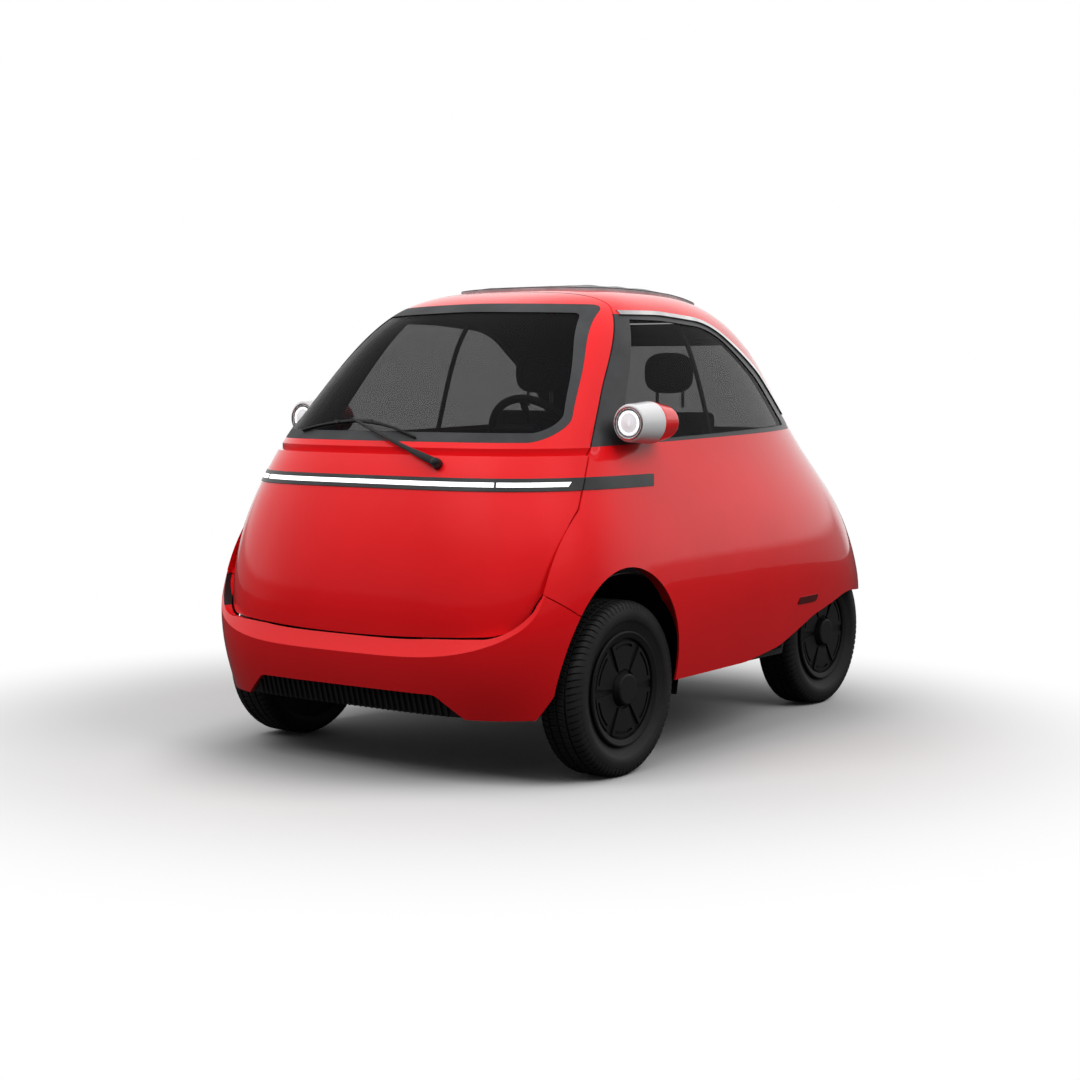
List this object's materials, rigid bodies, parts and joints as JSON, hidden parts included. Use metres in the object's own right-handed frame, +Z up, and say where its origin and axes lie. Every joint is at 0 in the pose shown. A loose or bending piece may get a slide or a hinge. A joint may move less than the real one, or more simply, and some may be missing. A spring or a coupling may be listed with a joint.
{
  "type": "microcar",
  "caption": "Red electric two-seat microcar with a front-opening door, narrow rear track, folding fabric roof and lamp strip across the nose.",
  "frame": {"origin": "centre of the bounding box's bottom: between the four tyres' contact patches, on the ground", "axes": "+Z up, -Y the car's front, +X the car's left side"},
  "size_m": [1.4878, 2.5108, 1.4999],
  "materials": {
    "red_paint": "gloss",
    "tinted_glass": "gloss",
    "seal_rubber": "satin",
    "black_plastic": "matte",
    "white_light": "gloss",
    "red_light": "gloss",
    "amber_light": "gloss",
    "chrome": "polished",
    "grey_coating": "matte",
    "dark_fabric": "matte",
    "black_fabric": "matte",
    "cast_aluminium": "cast",
    "black_steel": "satin",
    "black_rubber": "matte",
    "tyre_rubber": "matte",
    "wheel_black": "satin"
  },
  "bodies": {
    "chassis": {"front_bumper": "red_paint", "grille": "black_plastic", "side_panel_left": "red_paint", "side_panel_right": "red_paint", "roof_panel": "red_paint", "rear_bumper": "red_paint", "drip_rails": "chrome", "sunroof": "black_fabric", "window_trims": "black_plastic", "side_windows": "tinted_glass", "side_strips": "black_plastic", "floor_pan": "grey_coating", "front_wheelhouses": "black_plastic", "rear_bulkhead": "grey_coating", "seat_base": "dark_fabric", "seat_back": "dark_fabric", "head_restraints": "dark_fabric", "battery_block": "cast_aluminium", "motor_block": "cast_aluminium", "rear_axle": "black_steel", "front_subframe": "black_steel", "steering_column": "black_plastic", "mirrors": "red_paint", "headlamps": "chrome", "headlamp_lenses": "white_light", "side_markers": "amber_light", "window_bars": "black_plastic", "rear_plate_holder": "black_plastic", "opening_seals": "seal_rubber"},
    "door": {"front_door": "red_paint", "light_bar": "black_plastic", "light_bar_lens": "white_light", "windscreen": "tinted_glass", "windscreen_seal": "seal_rubber", "dashboard": "black_plastic", "door_liner": "black_plastic", "wiper": "black_plastic"},
    "rear_lid": {"tailgate": "red_paint", "rear_window": "tinted_glass", "rear_window_seal": "seal_rubber", "rear_lamp_bar": "red_light"},
    "steering": {"steering_wheel": "black_rubber"},
    "upright_left": {"knuckle_left": "black_steel"},
    "upright_right": {"knuckle_right": "black_steel"},
    "roadwheel_front_left": {"tyre_front_left": "tyre_rubber", "wheel_front_left": "wheel_black"},
    "roadwheel_front_right": {"tyre_front_right": "tyre_rubber", "wheel_front_right": "wheel_black"},
    "roadwheel_rear_left": {"tyre_rear_left": "tyre_rubber", "wheel_rear_left": "wheel_black"},
    "roadwheel_rear_right": {"tyre_rear_right": "tyre_rubber", "wheel_rear_right": "wheel_black"}
  },
  "joints": [
    {"name": "front_left_steer", "type": "hinge", "parent": "chassis", "child": "upright_left", "pos_m": [0.556, -0.753, 0.165], "axis": [-0.1938, 0.0406, 0.9802], "range_deg": [-35, 35]},
    {"name": "front_right_steer", "type": "hinge", "parent": "chassis", "child": "upright_right", "pos_m": [-0.556, -0.753, 0.165], "axis": [0.1938, 0.0406, 0.9802], "range_deg": [-35, 35]},
    {"name": "steering_wheel_turn", "type": "hinge", "parent": "chassis", "child": "steering", "pos_m": [0.262, -0.606, 0.985], "axis": [0, 0.8829, 0.4695], "range_deg": [-525, 525]},
    {"name": "front_left_spin", "type": "hinge", "parent": "upright_left", "child": "roadwheel_front_left", "pos_m": [0.637, -0.753, 0.2665], "axis": [1, 0, 0], "continuous": true},
    {"name": "front_right_spin", "type": "hinge", "parent": "upright_right", "child": "roadwheel_front_right", "pos_m": [-0.637, -0.753, 0.2665], "axis": [1, 0, 0], "continuous": true},
    {"name": "rear_left_spin", "type": "hinge", "parent": "chassis", "child": "roadwheel_rear_left", "pos_m": [0.46, 0.813, 0.2665], "axis": [1, 0, 0], "continuous": true},
    {"name": "rear_right_spin", "type": "hinge", "parent": "chassis", "child": "roadwheel_rear_right", "pos_m": [-0.46, 0.813, 0.2665], "axis": [1, 0, 0], "continuous": true},
    {"name": "front_door_swing", "type": "hinge", "parent": "chassis", "child": "door", "pos_m": [0.7, -1.13, 0.9], "axis": [0, 0, 1], "range_deg": [0, 80]},
    {"name": "tailgate_lift", "type": "hinge", "parent": "chassis", "child": "rear_lid", "pos_m": [0, 0.545, 1.416], "axis": [1, 0, 0], "range_deg": [0, 70]}
  ],
  "couplings": [
    {"joint": "front_right_steer", "follows": "front_left_steer", "ratio": 1},
    {"joint": "steering_wheel_turn", "follows": "front_left_steer", "ratio": 15}
  ]
}
